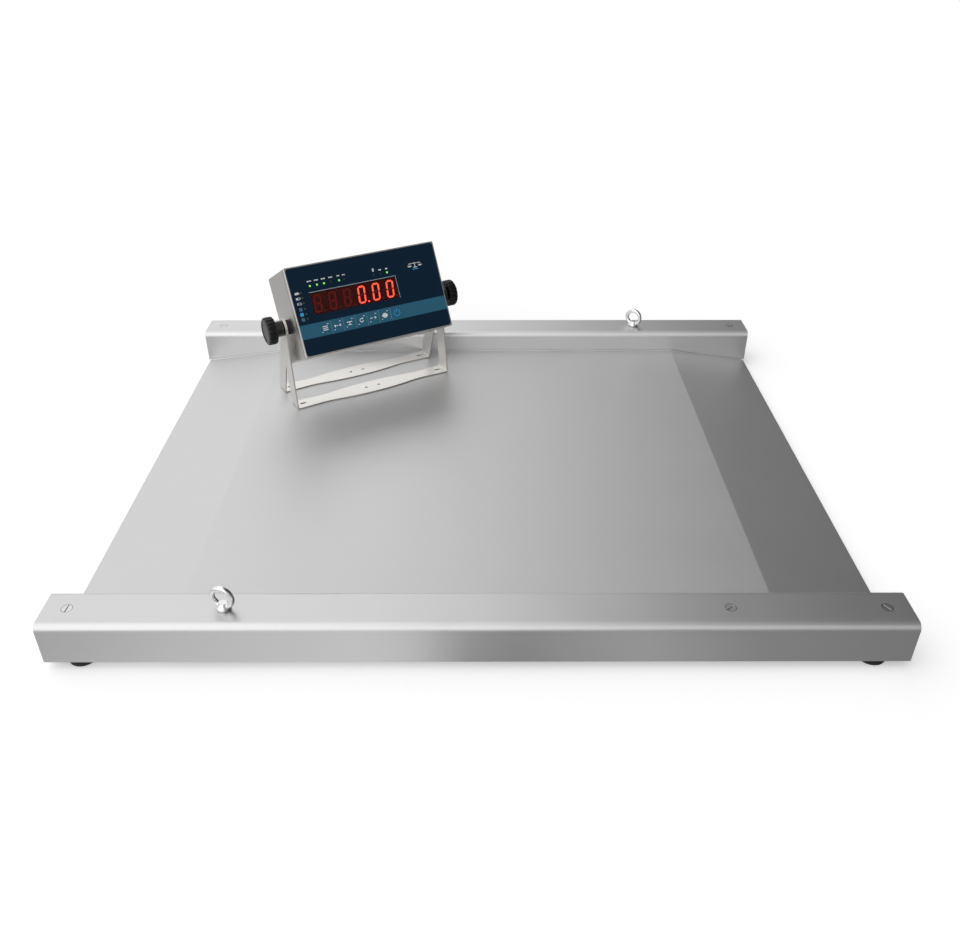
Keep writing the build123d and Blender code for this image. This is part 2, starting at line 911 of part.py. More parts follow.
def pivot_bushes():
    outer = head_width / 2 - head_sheet - 0.1
    bushes = []
    for side in (-1, 1):
        bush = axle(outer - bush_length, outer, pivot_back, pivot_up, bush_radius, side)
        bore = axle(outer - bush_length - 1, outer + 1, pivot_back, pivot_up, thread / 2 + thread_play, side)
        bushes.append(bush - bore)
    return on_head(group(bushes))


def pivot_spacers():
    # Rubber rings between the head and the inner strap
    inner = head_width / 2 + 0.05
    outer = rear_half - strap_sheet - part_gap
    rings = []
    for side in (-1, 1):
        ring = axle(inner, outer, pivot_back, pivot_up, spacer_radius, side)
        ring -= axle(inner - 1, outer + 1, pivot_back, pivot_up, 4.6, side)
        rings.append(ring)
    return on_head(group(rings))


def knob(side):
    # Fluted rim with a flat face, on a narrower hub
    inner = front_half + part_gap
    rim = axle(knob_out - knob_rim, knob_out, 0, 0, knob_radius)
    rim = fillet(rim.edges().filter_by(GeomType.CIRCLE), 2.0)
    for i in range(knob_flutes):
        turn = Rot(360 / knob_flutes * i, 0, 0)
        rim -= turn * axle(knob_out - knob_rim - 1, knob_out - 2.5, 0, knob_radius + 1, flute_radius)
    hub = axle(inner, knob_out - knob_rim + 1, 0, 0, knob_hub_radius)
    shape = rim + hub - axle(inner - 1, stud_outer + 1, 0, 0, thread / 2 + thread_play)
    if side < 0:
        shape = Rot(0, 0, 180) * shape
    return on_head(Pos(0, pivot_back, pivot_up) * shape)


def knob_stud(side):
    return on_head(axle(stud_inner, stud_outer, pivot_back, pivot_up, thread / 2, side))


def all_parts():
    parts = {
        "deck_sheet": deck_sheet(),
        "deck_ribs": deck_ribs(),
        "ramp_gussets": ramp_gussets(),
        "rail_near": rail(-1),
        "rail_far": rail(1),
        "rail_end_caps": rail_end_caps(),
        "slotted_screws": slotted_screws(),
        "weld_nuts": weld_nuts(),
        "eyebolt_near": eyebolt(-1),
        "eyebolt_far": eyebolt(1),
        "load_cells": load_cells(),
        "cell_spacers": cell_spacers(),
        "cell_bolts": cell_bolts(),
        "lock_nuts": lock_nuts(),
        "junction_box": junction_box(),
        "junction_lid": junction_lid(),
        "junction_screws": junction_screws(),
        "junction_standoffs": junction_standoffs(),
        "junction_glands": junction_glands(),
        "cell_cables": cell_cables(),
        "stand_front": strap_bracket(-1, front_half),
        "stand_rear": strap_bracket(1, rear_half),
        "head_shell": head_shell(),
        "front_cover": front_cover(),
        "cover_gasket": cover_gasket(),
        "front_overlay": front_overlay(),
        "display_window": display_window(),
        "digit_modules": digit_modules(),
        "status_lights": status_lights(),
        "display_board": display_board(),
        "key_board": key_board(),
        "key_switches": key_switches(),
        "key_power": key_cap(power_x, power_radius),
        "pillars": pillars(),
        "cover_screws": cover_screws(),
        "main_board": main_board_plate(),
        "board_parts": board_parts(),
        "battery": battery(),
        "power_supply": power_supply(),
        "cable_glands": cable_glands(),
        "pivot_bushes": pivot_bushes(),
        "pivot_spacers": pivot_spacers(),
    }
    for name, (sx, sy) in zip(("near_left", "near_right", "far_left", "far_right"), corners()):
        parts["foot_pad_" + name] = foot_pad(sx, sy)
        parts["foot_stud_" + name] = foot_stud(sx, sy)
    for number, x in enumerate(key_centres(), 1):
        parts[f"key_{number}"] = key_cap(x)
    for name, side in (("left", -1), ("right", 1)):
        parts["knob_" + name] = knob(side)
        parts["knob_stud_" + name] = knob_stud(side)
    return parts


os.makedirs("parts", exist_ok=True)
for name, shape in all_parts().items():
    export_step(shape, f"parts/{name}.step")
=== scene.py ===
import json
import math
import bmesh
import bpy
import numpy as np
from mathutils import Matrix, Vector


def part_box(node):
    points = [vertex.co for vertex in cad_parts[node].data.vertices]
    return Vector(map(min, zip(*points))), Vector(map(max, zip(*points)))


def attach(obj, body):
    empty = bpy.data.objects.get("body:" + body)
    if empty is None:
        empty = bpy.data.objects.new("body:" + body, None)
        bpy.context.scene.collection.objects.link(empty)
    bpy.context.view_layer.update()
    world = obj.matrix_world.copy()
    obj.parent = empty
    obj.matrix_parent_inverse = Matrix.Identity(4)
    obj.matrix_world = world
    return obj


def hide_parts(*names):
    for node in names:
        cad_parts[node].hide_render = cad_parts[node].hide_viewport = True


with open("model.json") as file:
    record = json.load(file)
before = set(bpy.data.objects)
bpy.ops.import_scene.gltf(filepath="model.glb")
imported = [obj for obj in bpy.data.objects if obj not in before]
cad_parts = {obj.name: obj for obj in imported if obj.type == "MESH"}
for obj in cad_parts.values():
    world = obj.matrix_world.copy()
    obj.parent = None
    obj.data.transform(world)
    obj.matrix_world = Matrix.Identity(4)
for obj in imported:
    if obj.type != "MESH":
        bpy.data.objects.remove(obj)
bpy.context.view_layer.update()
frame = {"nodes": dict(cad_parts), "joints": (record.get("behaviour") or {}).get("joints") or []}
nodes = frame["nodes"]
jointNamed = {joint["name"]: joint for joint in frame["joints"]}
print("frame loaded:", len(nodes), "nodes")


# camera, floor and light

cameraSet = {
    "place": (-0.0018, -1.3478, 0.8683),
    "pitchDown": 33.215,
    "turn": -0.12,
    "lens": 34.53,
    "shiftX": 0.0025,
}
lightSet = {
    "zenith": 1.35,
    "front": 1.50,
    "frontLeast": 0.35,
    "sideStops": [
        (0.0, 0.97), (0.40, 1.06), (0.485, 1.10), (0.53, 0.77),
        (0.57, 0.42), (0.62, 0.19), (0.70, 0.05), (1.0, 0.03),
    ],
    "floorStops": [
        (0.20, 0.54), (0.31, 0.72), (0.42, 0.82), (0.455, 0.74), (0.495, 0.38),
        (0.53, 0.31), (0.56, 0.37), (0.61, 0.44), (0.69, 0.29), (0.80, 0.23),
    ],
    "floorHalf": 15.0,
    "floorDrop": 0.0003,
    "floorGrey": 0.85,
    "floorGlow": 0.34,
    "keySize": 1.4,
    "keyPower": 1.5,
    "keyPlace": (-1.3, -0.9, 2.1),
}


def makeCamera():
    data = bpy.data.cameras.new("camera")
    data.lens = cameraSet["lens"]
    data.sensor_width = 36.0
    data.shift_x = cameraSet["shiftX"]
    camera = bpy.data.objects.new("camera", data)
    bpy.context.scene.collection.objects.link(camera)
    camera.location = cameraSet["place"]
    camera.rotation_euler = (
        math.radians(90 - cameraSet["pitchDown"]),
        0,
        math.radians(cameraSet["turn"]),
    )
    bpy.context.scene.camera = camera


# shader arithmetic

class Wire:
    # one socket; + - * / ** and comparisons add Math nodes
    def __init__(self, tree, socket):
        self.tree = tree
        self.socket = socket

    def math(self, operation, *values):
        return shaderNode(self.tree, "ShaderNodeMath", {"operation": operation}, dict(enumerate(values)))

    def __add__(self, other):
        return self.math("ADD", self, other)

    def __radd__(self, other):
        return self.math("ADD", other, self)

    def __sub__(self, other):
        return self.math("SUBTRACT", self, other)

    def __rsub__(self, other):
        return self.math("SUBTRACT", other, self)

    def __mul__(self, other):
        return self.math("MULTIPLY", self, other)

    def __rmul__(self, other):
        return self.math("MULTIPLY", other, self)

    def __truediv__(self, other):
        return self.math("DIVIDE", self, other)

    def __rtruediv__(self, other):
        return self.math("DIVIDE", other, self)

    def __pow__(self, other):
        return self.math("POWER", self, other)

    def __gt__(self, other):
        return self.math("GREATER_THAN", self, other)

    def __lt__(self, other):
        return self.math("LESS_THAN", self, other)


def shaderNode(tree, kind, settings=None, inputs=None, output=0):
    # any node: its settings first (stops of a ramp among them), then values or links
    node = tree.nodes.new(kind)
    for name, value in (settings or {}).items():
        if name == "stops":
            ramp = node.color_ramp
            while len(ramp.elements) < len(value):
                ramp.elements.new(0.5)
            for element, (place, colour) in zip(ramp.elements, value):
                element.position = place
                element.color = colour
        else:
            setattr(node, name, value)
    for name, value in (inputs or {}).items():
        socket = node.inputs[name]
        if isinstance(value, Wire):
            tree.links.new(value.socket, socket)
        else:
            socket.default_value = value
    return None if output is None else Wire(tree, node.outputs[output])


def grey(value):
    return (value, value, value, 1)


def rgb(red, green, blue):
    return (red, green, blue, 1)


def newMaterial(name):
    material = bpy.data.materials.new(name)
    material.use_nodes = True
    material.node_tree.nodes.clear()
    return material, material.node_tree


def objectPoint(tree):
    return shaderNode(tree, "ShaderNodeTexCoord", output="Object")


def scaled(tree, point, scale):
    return shaderNode(tree, "ShaderNodeMapping", None, {"Vector": point, "Scale": scale})


def noiseOf(tree, point, scale, detail=2.0, roughness=0.5):
    return shaderNode(
        tree,
        "ShaderNodeTexNoise",
        None,
        {"Vector": point, "Scale": scale, "Detail": detail, "Roughness": roughness},
    )


def mixColour(tree, factor, first, second, blend="MIX"):
    settings = {"data_type": "RGBA", "blend_type": blend}
    return shaderNode(tree, "ShaderNodeMix", settings, {0: factor, 6: first, 7: second}, output=2)


def bump(tree, height, distance, strength=1.0):
    values = {"Height": height, "Distance": distance, "Strength": strength}
    return shaderNode(tree, "ShaderNodeBump", None, values)


def finishOf(tree, **sockets):
    # the surface shader, wired to the output
    names = {key.replace("_", " "): value for key, value in sockets.items()}
    surface = shaderNode(tree, "ShaderNodeBsdfPrincipled", None, names)
    shaderNode(tree, "ShaderNodeOutputMaterial", None, {"Surface": surface}, output=None)


def ramp(tree, factor, stops):
    # grey steps, eased in straight lines
    return shaderNode(tree, "ShaderNodeValToRGB",
                      {"stops": [(place, grey(value)) for place, value in stops]}, {0: factor})


def makeWorld():
    # soft room: bright to the left, falling away to the right, brighter in front than behind
    world = bpy.data.worlds.new("studio")
    bpy.context.scene.world = world
    world.use_nodes = True
    tree = world.node_tree
    tree.nodes.clear()
    direction = shaderNode(tree, "ShaderNodeTexCoord", output="Generated")
    across = shaderNode(tree, "ShaderNodeSeparateXYZ", None, {0: direction}, output=0)
    deep = shaderNode(tree, "ShaderNodeSeparateXYZ", None, {0: direction}, output=1)
    up = shaderNode(tree, "ShaderNodeSeparateXYZ", None, {0: direction}, output=2)
    side = ramp(tree, across * 0.5 + 0.5, lightSet["sideStops"])
    toFront = ramp(tree, deep * 0.5 + 0.5, [(0.18, 1.0), (0.45, 0.0)])
    frontGlow = lightSet["frontLeast"] + side * (lightSet["front"] - lightSet["frontLeast"])
    toTop = ramp(tree, up, [(0.72, 0.0), (0.97, 1.0)])
    around = side * (1 - toFront) + frontGlow * toFront
    glow = around * (1 - toTop) + side * toTop * lightSet["zenith"]
    seen = shaderNode(tree, "ShaderNodeLightPath", output="Is Camera Ray")
    strength = glow * (1 - seen) + seen  # plain white behind the object
    background = shaderNode(tree, "ShaderNodeBackground", None, {"Color": grey(1.0), "Strength": strength})
    shaderNode(tree, "ShaderNodeOutputWorld", None, {"Surface": background}, output=None)


def makeFloor():
    # white to the eye; a mirror-like surface sees it darker, in broad patches from left to right
    half = lightSet["floorHalf"]
    low = -lightSet["floorDrop"]
    mesh = bpy.data.meshes.new("floor")
    mesh.from_pydata([(-half, -half, low), (half, -half, low), (half, half, low), (-half, half, low)],
                     [], [(0, 1, 2, 3)])
    floor = bpy.data.objects.new("floor", mesh)
    bpy.context.scene.collection.objects.link(floor)
    material, tree = newMaterial("floorPaper")
    point = objectPoint(tree)
    across = shaderNode(tree, "ShaderNodeSeparateXYZ", None, {0: point}, output=0)
    paper = shaderNode(tree, "ShaderNodeBsdfDiffuse", None, {"Color": grey(lightSet["floorGrey"])})
    glow = shaderNode(tree, "ShaderNodeEmission", None,
                      {"Color": grey(1.0), "Strength": lightSet["floorGlow"]})
    seen = shaderNode(tree, "ShaderNodeAddShader", None, {0: paper, 1: glow})
    patches = ramp(tree, across * 0.5 + 0.5, lightSet["floorStops"])
    mirrored = shaderNode(tree, "ShaderNodeEmission", None, {"Color": grey(1.0), "Strength": patches})
    glossyRay = shaderNode(tree, "ShaderNodeLightPath", output="Is Glossy Ray")
    mixed = shaderNode(tree, "ShaderNodeMixShader", None, {0: glossyRay, 1: seen, 2: mirrored})
    shaderNode(tree, "ShaderNodeOutputMaterial", None, {"Surface": mixed}, output=None)
    mesh.materials.append(material)


def makeKeyLight():
    data = bpy.data.lights.new("softbox", "AREA")
    data.size = lightSet["keySize"]
    data.energy = lightSet["keyPower"]
    light = bpy.data.objects.new("softbox", data)
    light.location = lightSet["keyPlace"]
    aim = Vector((0, 0, 0)) - light.location
    light.rotation_euler = aim.to_track_quat("-Z", "Y").to_euler()
    bpy.context.scene.collection.objects.link(light)


makeCamera()
makeWorld()
makeFloor()
makeKeyLight()
bpy.context.scene.view_settings.view_transform = "Standard"
print("camera, floor and key light made")


# the head's own frame: across, back and up from its front face's lower middle (filmFace is in millimetres)

headSet = {
    "tilt": 28.0,
    "pivotBack": 0.058,
    "pivotUp": 0.064,
    "filmFace": -0.4,
}
hinge = jointNamed["head_tilt"]
acrossAxis = np.array(hinge["axis"], float)
acrossAxis /= np.linalg.norm(acrossAxis)
flatBack = np.array([-acrossAxis[1], acrossAxis[0], 0.0])
tiltAngle = math.radians(headSet["tilt"])
backAxis = flatBack * math.cos(tiltAngle) + np.array([0, 0, -math.sin(tiltAngle)])
upAxis = flatBack * math.sin(tiltAngle) + np.array([0, 0, math.cos(tiltAngle)])
pivot = np.array(hinge["pos_m"], float)
headOrigin = pivot - backAxis * headSet["pivotBack"] - upAxis * headSet["pivotUp"]


def headPoint(across, back, up):
    # millimetres in the head's frame, as whole arrays, to metres in the platform's frame
    across, back, up = np.broadcast_arrays(across, back, up)
    place = np.stack([across, back, up], axis=-1) / 1000
    return headOrigin + place @ np.stack([acrossAxis, backAxis, upAxis])


fillSet = {"gap": 12.0, "middle": 66.0, "width": 0.275, "height": 0.170, "power": 0.19}


def makeFill():
    # a pale card just in front of the head, unseen itself, so that the deck doesn't mirror a dark patch
    data = bpy.data.lights.new("fillCard", "AREA")
    data.shape = "RECTANGLE"
    data.size = fillSet["width"]
    data.size_y = fillSet["height"]
    data.energy = fillSet["power"]
    light = bpy.data.objects.new("fillCard", data)
    light.location = headPoint(0, -fillSet["gap"], fillSet["middle"])
    light.rotation_euler = Vector(-backAxis).to_track_quat("-Z", "Y").to_euler()
    light.visible_camera = False
    bpy.context.scene.collection.objects.link(light)


makeFill()


def headAxis(tree, point, axis):
    # distance along one of the head's axes, in millimetres
    moved = shaderNode(tree, "ShaderNodeVectorMath", {"operation": "SUBTRACT"},
                       {0: point, 1: tuple(headOrigin)})
    length = shaderNode(tree, "ShaderNodeVectorMath", {"operation": "DOT_PRODUCT"},
                        {0: moved, 1: tuple(axis * 1000)}, output="Value")
    return length


# finishes

plateSet = {
    "tint": (0.66, 0.66, 0.665),
    "roughness": 0.48,
    "railRoughness": 0.38,
    "wave": 0.0011,
    # ring and ringWidth: radius and width of the painted shade round each screw head
    "ring": 0.0071,
    "ringWidth": 0.0005,
}
strapSet = {"tint": (0.79, 0.77, 0.74), "roughness": 0.30}
housingSet = {"tint": (0.62, 0.605, 0.585), "roughness": 0.30}
railY = 0.4445
screwPlaces = [(x, y) for x in (-0.531, 0.531) for y in (-railY, railY)]
screwPlaces += [(0.328, -railY), (-0.328, railY)]


def greyTint(tree, tint, tone):
    # a tint darkened or lightened by a grey tone
    shade = shaderNode(tree, "ShaderNodeCombineColor", None, {0: tone, 1: tone, 2: tone})
    return mixColour(tree, 1.0, rgb(*tint), shade, "MULTIPLY")


def plateSteel(name, wave, roughness, screwShade=False):
    # sheet brushed along the rails: hairlines, wider streaks, faint handling blotches and a slow waviness,
    # and on the rails a ring of painted shade round each screw head
    material, tree = newMaterial(name)
    point = objectPoint(tree)
    hair = noiseOf(tree, scaled(tree, point, (14, 2600, 2600)), 1.0, 2.0, 0.6)
    streak = noiseOf(tree, scaled(tree, point, (1.6, 170, 170)), 1.0, 3.0, 0.55)
    blotch = noiseOf(tree, scaled(tree, point, (5, 7, 7)), 1.0, 2.0, 0.5)
    bend = noiseOf(tree, scaled(tree, point, (7, 9, 16)), 1.0, 1.0, 0.4)
    tone = 0.955 + hair * 0.03 + streak * 0.045 + blotch * 0.025
    base = greyTint(tree, plateSet["tint"], tone)
    if screwShade:
        # painted shade: a dark line where each screw head meets the sheet, standing in for the shadow in the
        # crevice round the head
        flat = shaderNode(tree, "ShaderNodeVectorMath", {"operation": "MULTIPLY"}, {0: point, 1: (1, 1, 0)})
        for x, y in screwPlaces:
            away = shaderNode(tree, "ShaderNodeVectorMath", {"operation": "DISTANCE"},
                              {0: flat, 1: (x, y, 0)}, output="Value")
            line = shaderNode(tree, "ShaderNodeMath", {"operation": "COMPARE"},
                              {0: away, 1: plateSet["ring"], 2: plateSet["ringWidth"]})
            base = mixColour(tree, line * 0.88, base, grey(0.03))
    rough = roughness - 0.04 + hair * 0.05 + streak * 0.04 + blotch * 0.03
    height = hair * 0.00003 + streak * 0.00004 + bend * wave
    finishOf(tree, Base_Color=base, Metallic=1.0, Roughness=rough, Normal=bump(tree, height, 1.0))
    return material


def headSteel(name, values, lineAxis):
    # satin sheet of the indicator, with its lines along one of the head's axes
    material, tree = newMaterial(name)
    point = objectPoint(tree)
    along = headAxis(tree, point, acrossAxis)
    back = headAxis(tree, point, backAxis)
    up = headAxis(tree, point, upAxis)
    scales = {"across": (0.02, 2.6, 2.6), "up": (2.6, 2.6, 0.02)}[lineAxis]
    local = shaderNode(tree, "ShaderNodeCombineXYZ", None,
                       {0: along * scales[0], 1: back * scales[1], 2: up * scales[2]})
    hair = noiseOf(tree, local, 1.0, 3.0, 0.6)
    cloud = noiseOf(tree, point, 22.0, 2.0)
    tone = 0.94 + hair * 0.06 + cloud * 0.05
    base = greyTint(tree, values["tint"], tone)
    rough = values["roughness"] - 0.03 + hair * 0.06 + cloud * 0.05
    finishOf(tree, Base_Color=base, Metallic=1.0, Roughness=rough,
             Normal=bump(tree, hair * 0.00001 + cloud * 0.0002, 1.0))
    return material


def machinedSteel(name, tint, roughness, speckle):
    # turned, plated or cast metal: fine speckle and faint stains
    material, tree = newMaterial(name)
    point = objectPoint(tree)
    fine = noiseOf(tree, point, 900.0, 2.0)
    stain = noiseOf(tree, point, 60.0, 3.0)
    tone = 0.9 + fine * 0.08 + stain * 0.12
    base = greyTint(tree, tint, tone)
    rough = roughness - 0.05 + fine * 0.06 + stain * 0.06
    finishOf(tree, Base_Color=base, Metallic=1.0, Roughness=rough, Normal=bump(tree, fine * speckle, 1.0))
    return material


def mouldedPlastic(name, tint, roughness, grainScale, grainHeight, metallic=0.0, specular=0.5):
    # moulded or painted: fine texture in the surface, a little dust in the tone
    material, tree = newMaterial(name)
    point = objectPoint(tree)
    grain = noiseOf(tree, point, grainScale, 2.0, 0.6)
    dust = noiseOf(tree, point, 40.0, 3.0)
    base = mixColour(tree, dust * 0.35, rgb(*tint), rgb(*[min(1, 0.02 + value * 1.18) for value in tint]))
    rough = roughness - 0.04 + grain * 0.05 + dust * 0.05
    finishOf(tree, Base_Color=base, Roughness=rough, Metallic=metallic, Specular_IOR_Level=specular,
             Normal=bump(tree, grain * grainHeight, 1.0))
    return material


filmSet = {
    "navy": (0.0026, 0.0155, 0.0350),
    "teal": (0.0270, 0.1220, 0.1950),
    "bandLow": 32.5,
    "bandHigh": 57.5,
}


def printedFilm(name):
    # matt printed film: navy ground with a teal band across it
    material, tree = newMaterial(name)
    point = objectPoint(tree)
    up = headAxis(tree, point, upAxis)
    band = (up > filmSet["bandLow"]) * (up < filmSet["bandHigh"])
    grain = noiseOf(tree, point, 2600.0, 2.0)
    cloud = noiseOf(tree, point, 30.0, 2.0)
    navy, teal = filmSet["navy"], filmSet["teal"]
    ground = mixColour(tree, cloud * 0.25, rgb(*navy), rgb(*[value * 1.25 for value in navy]))
    stripe = mixColour(tree, cloud * 0.2, rgb(*teal), rgb(*[value * 1.12 for value in teal]))
    base = mixColour(tree, band, ground, stripe)
    rough = 0.46 + grain * 0.08
    finishOf(tree, Base_Color=base, Roughness=rough, Specular_IOR_Level=0.12,
             Normal=bump(tree, grain * 0.000008, 1.0))
    return material


def redFilter(name):
    # clear red pane: see-through, glossy, a little deeper at one end
    material, tree = newMaterial(name)
    point = objectPoint(tree)
    cloud = noiseOf(tree, point, 18.0, 2.0)
    base = mixColour(tree, cloud, rgb(0.050, 0.0046, 0.0040), rgb(0.060, 0.0056, 0.0048))
    finishOf(tree, Base_Color=base, Roughness=0.16 + cloud * 0.04, Alpha=0.52, Specular_IOR_Level=0.25)
    return material


def lampMaterial(name, dark, glow, strength):
    # moulded lens or segment: brightest in its middle tones; on unlit bars and off lamps the glow is painted
    # light, standing in for light falling on them
    material, tree = newMaterial(name)
    point = objectPoint(tree)
    cloud = noiseOf(tree, point, 420.0, 1.0)
    light = mixColour(tree, cloud, rgb(*glow), rgb(*[value * 0.82 for value in glow]))
    finishOf(tree, Base_Color=rgb(*dark), Roughness=0.3 + cloud * 0.05, Emission_Color=light,
             Emission_Strength=strength)
    return material


def inkMaterial(name, tint):
    # screen-printed ink: slightly uneven coverage
    material, tree = newMaterial(name)
    point = objectPoint(tree)
    cover = noiseOf(tree, point, 1500.0, 2.0)
    base = mixColour(tree, cover * 0.3, rgb(*tint), rgb(*[value * 0.8 for value in tint]))
    finishOf(tree, Base_Color=base, Roughness=0.5 + cover * 0.06)
    return material


def circuitBoard(name):
    # solder mask with straight copper tracks and round pads showing through
    perMillimetre = 0.16
    material, tree = newMaterial(name)
    point = objectPoint(tree)
    local = shaderNode(tree, "ShaderNodeCombineXYZ", None, {
        0: headAxis(tree, point, acrossAxis) * perMillimetre,
        1: headAxis(tree, point, upAxis) * perMillimetre,
    })
    tracks = shaderNode(tree, "ShaderNodeTexBrick", {"offset": 0.5}, {
        "Vector": local, "Scale": 1.0, "Mortar Size": 0.05, "Color1": grey(0.0), "Color2": grey(0.12),
        "Mortar": grey(1.0)}, output="Color")
    pads = shaderNode(tree, "ShaderNodeTexVoronoi", None, {"Vector": local, "Scale": 1.6}, output="Distance")
    copper = mixColour(tree, pads < 0.12, tracks, grey(1.0))
    base = mixColour(tree, copper, rgb(0.008, 0.085, 0.030), rgb(0.030, 0.200, 0.075))
    finishOf(tree, Base_Color=base, Roughness=0.34, Normal=bump(tree, copper * 0.00004, 1.0))
    return material


finishes = {
    "plate": plateSteel("plateSteel", plateSet["wave"] * 0.35, plateSet["roughness"]),
    # the rails carry rings of painted shade round their screw heads
    "rail": plateSteel("railSteel", plateSet["wave"], plateSet["railRoughness"], screwShade=True),
    "strap": headSteel("strapSteel", strapSet, "up"),
    "housing": headSteel("housingSteel", housingSet, "across"),
    "forging": machinedSteel("forgedSteel", (0.83, 0.83, 0.83), 0.22, 0.00002),
    "screw": machinedSteel("screwSteel", (0.70, 0.70, 0.70), 0.30, 0.00001),
    "plated": machinedSteel("platedSteel", (0.62, 0.63, 0.65), 0.36, 0.00001),
    "cell": machinedSteel("cellAlloy", (0.68, 0.69, 0.70), 0.34, 0.00002),
    "bead": machinedSteel("weldSteel", (0.50, 0.50, 0.50), 0.40, 0.00004),
    "rubber": mouldedPlastic("blackRubber", (0.004, 0.004, 0.004), 0.75, 700.0, 0.00002),
    "nylon": mouldedPlastic("blackNylon", (0.016, 0.016, 0.017), 0.48, 1200.0, 0.00001),
    "knob": mouldedPlastic("knobBlack", (0.0030, 0.0030, 0.0036), 0.14, 500.0, 0.0, specular=0.35),
    "boxGrey": mouldedPlastic("boxGrey", (0.36, 0.37, 0.38), 0.5, 900.0, 0.00002),
    "sheath": mouldedPlastic("cableSheath", (0.03, 0.03, 0.033), 0.5, 600.0, 0.00001),
    "parts": mouldedPlastic("partBlack", (0.022, 0.022, 0.024), 0.42, 900.0, 0.00001),
    "batteryCase": mouldedPlastic("batteryCase", (0.045, 0.045, 0.050), 0.45, 700.0, 0.00001),
    "supplyCase": mouldedPlastic("supplyCase", (0.32, 0.33, 0.34), 0.4, 600.0, 0.00001, metallic=0.8),
    "digitFace": mouldedPlastic("digitFace", (0.050, 0.008, 0.007), 0.5, 900.0, 0.0),
    "film": printedFilm("printedFilm"),
    "window": redFilter("redFilter"),
    "lit": lampMaterial("litSegment", (0.5, 0.02, 0.01), (1.0, 0.10, 0.055), 6.5),
    # painted glow: the unlit bars give off a faint red light that stands in for light falling on their faces
    "ghost": lampMaterial("ghostSegment", (0.10, 0.010, 0.008), (0.20, 0.012, 0.008), 1.6),
    "lampOn": lampMaterial("lampOn", (0.10, 0.5, 0.06), (0.22, 0.75, 0.12), 1.0),
    # painted glow: the off lamps give off a faint light that stands in for light falling on them
    "lampOff": lampMaterial("lampOff", (0.016, 0.022, 0.020), (0.01, 0.012, 0.01), 0.1),
    "lampDim": lampMaterial("lampDim", (0.05, 0.045, 0.012), (0.03, 0.024, 0.004), 0.3),
    "inkWhite": inkMaterial("inkWhite", (0.80, 0.83, 0.85)),
    "inkBlue": inkMaterial("inkBlue", (0.010, 0.300, 0.640)),
    "inkSky": inkMaterial("inkSky", (0.030, 0.400, 0.790)),
    "inkTeal": inkMaterial("inkTeal", (0.040, 0.150, 0.230)),
    "inkPale": inkMaterial("inkPale", (0.33, 0.47, 0.56)),
    "board": circuitBoard("circuitBoard"),
}
print("finishes made:", len(finishes))

finishOfNode = {
    "deck_sheet": "plate", "deck_ribs": "plate", "ramp_gussets": "plate",
    "rail_near": "rail", "rail_far": "rail", "rail_end_caps": "plate",
    "slotted_screws": "screw", "weld_nuts": "plated", "eyebolt_near": "forging", "eyebolt_far": "forging",
    "load_cells": "cell", "cell_spacers": "plated", "cell_bolts": "plated", "lock_nuts": "plated",
    "junction_box": "boxGrey", "junction_lid": "boxGrey", "junction_screws": "plated",
    "junction_standoffs": "plated", "junction_glands": "nylon", "cell_cables": "sheath",
    "stand_front": "strap", "stand_rear": "strap", "head_shell": "housing", "front_cover": "housing",
    "cover_gasket": "rubber", "front_overlay": "film", "display_window": "window",
    "digit_modules": "digitFace", "status_lights": "lampOff", "display_board": "board",
    "key_board": "board", "key_switches": "parts", "pillars": "plated", "cover_screws": "plated",
    "main_board": "board", "board_parts": "parts", "battery": "batteryCase",
    "power_supply": "supplyCase", "cable_glands": "nylon", "pivot_bushes": "plated",
    "pivot_spacers": "rubber", "knob_left": "knob", "knob_right": "knob",
    "knob_stud_left": "plated", "knob_stud_right": "plated",
}


def dress(name, node):
    # feet go by the start of their names, and every node left over is a key's film
    kind = finishOfNode.get(name, "film")
    if name.startswith("foot_pad"):
        kind = "rubber"
    elif name.startswith("foot_stud"):
        kind = "plated"
    node.data.materials.clear()
    node.data.materials.append(finishes[kind])


for name, node in nodes.items():
    dress(name, node)
print("nodes dressed")


# mesh helpers

def meshPiece(name, points, faces, finish, body, smooth=True):
    mesh = bpy.data.meshes.new(name)
    mesh.from_pydata(np.asarray(points, float).reshape(-1, 3).tolist(), [], faces)
    mesh.polygons.foreach_set("use_smooth", [smooth] * len(mesh.polygons))
    mesh.materials.append(finishes[finish])
    piece = bpy.data.objects.new(name, mesh)
    bpy.context.scene.collection.objects.link(piece)
    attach(piece, body)
    return piece


def gridFaces(rows, columns, wrapRows=False, wrapColumns=False, first=0):
    # quads over a grid of points held row by row
    rowIndex = np.arange(rows if wrapRows else rows - 1)
    columnIndex = np.arange(columns if wrapColumns else columns - 1)
    row, column = np.meshgrid(rowIndex, columnIndex, indexing="ij")
    nextRow = (row + 1) % rows
    nextColumn = (column + 1) % columns
    quads = np.stack([
        row * columns + column,
        row * columns + nextColumn,
        nextRow * columns + nextColumn,
        nextRow * columns + column,
    ], axis=-1)
    return (quads.reshape(-1, 4) + first).tolist()


def prismPiece(name, outlines, front, depth, finish, body):
    # flat shapes on the head's face: each outline in (across, up) millimetres is put on two parallel planes,
    # depth apart, and a wall of quads joins them
    points = []
    faces = []
    start = 0
    for outline in outlines:
        outline = np.asarray(outline, float)
        x, y = outline.T
        doubleArea = np.sum(x * np.roll(y, -1) - np.roll(x, -1) * y)
        if doubleArea < 0:
            outline = outline[::-1]
        count = len(outline)
        points.append(headPoint(outline[:, 0], front, outline[:, 1]))
        points.append(headPoint(outline[:, 0], front + depth, outline[:, 1]))
        index = np.arange(count)
        faces.append((index + start).tolist())
        faces.append((index[::-1] + start + count).tolist())
        following = (index + 1) % count
        sides = np.stack([following, index, index + count, following + count], axis=-1) + start
        faces += sides.tolist()
        start += 2 * count
    return meshPiece(name, np.concatenate(points), faces, finish, body, smooth=False)


def circleAngles(count):
    # equal angles round a circle, without the last that would repeat the first
    return np.linspace(0, 2 * np.pi, count + 1)[:-1]


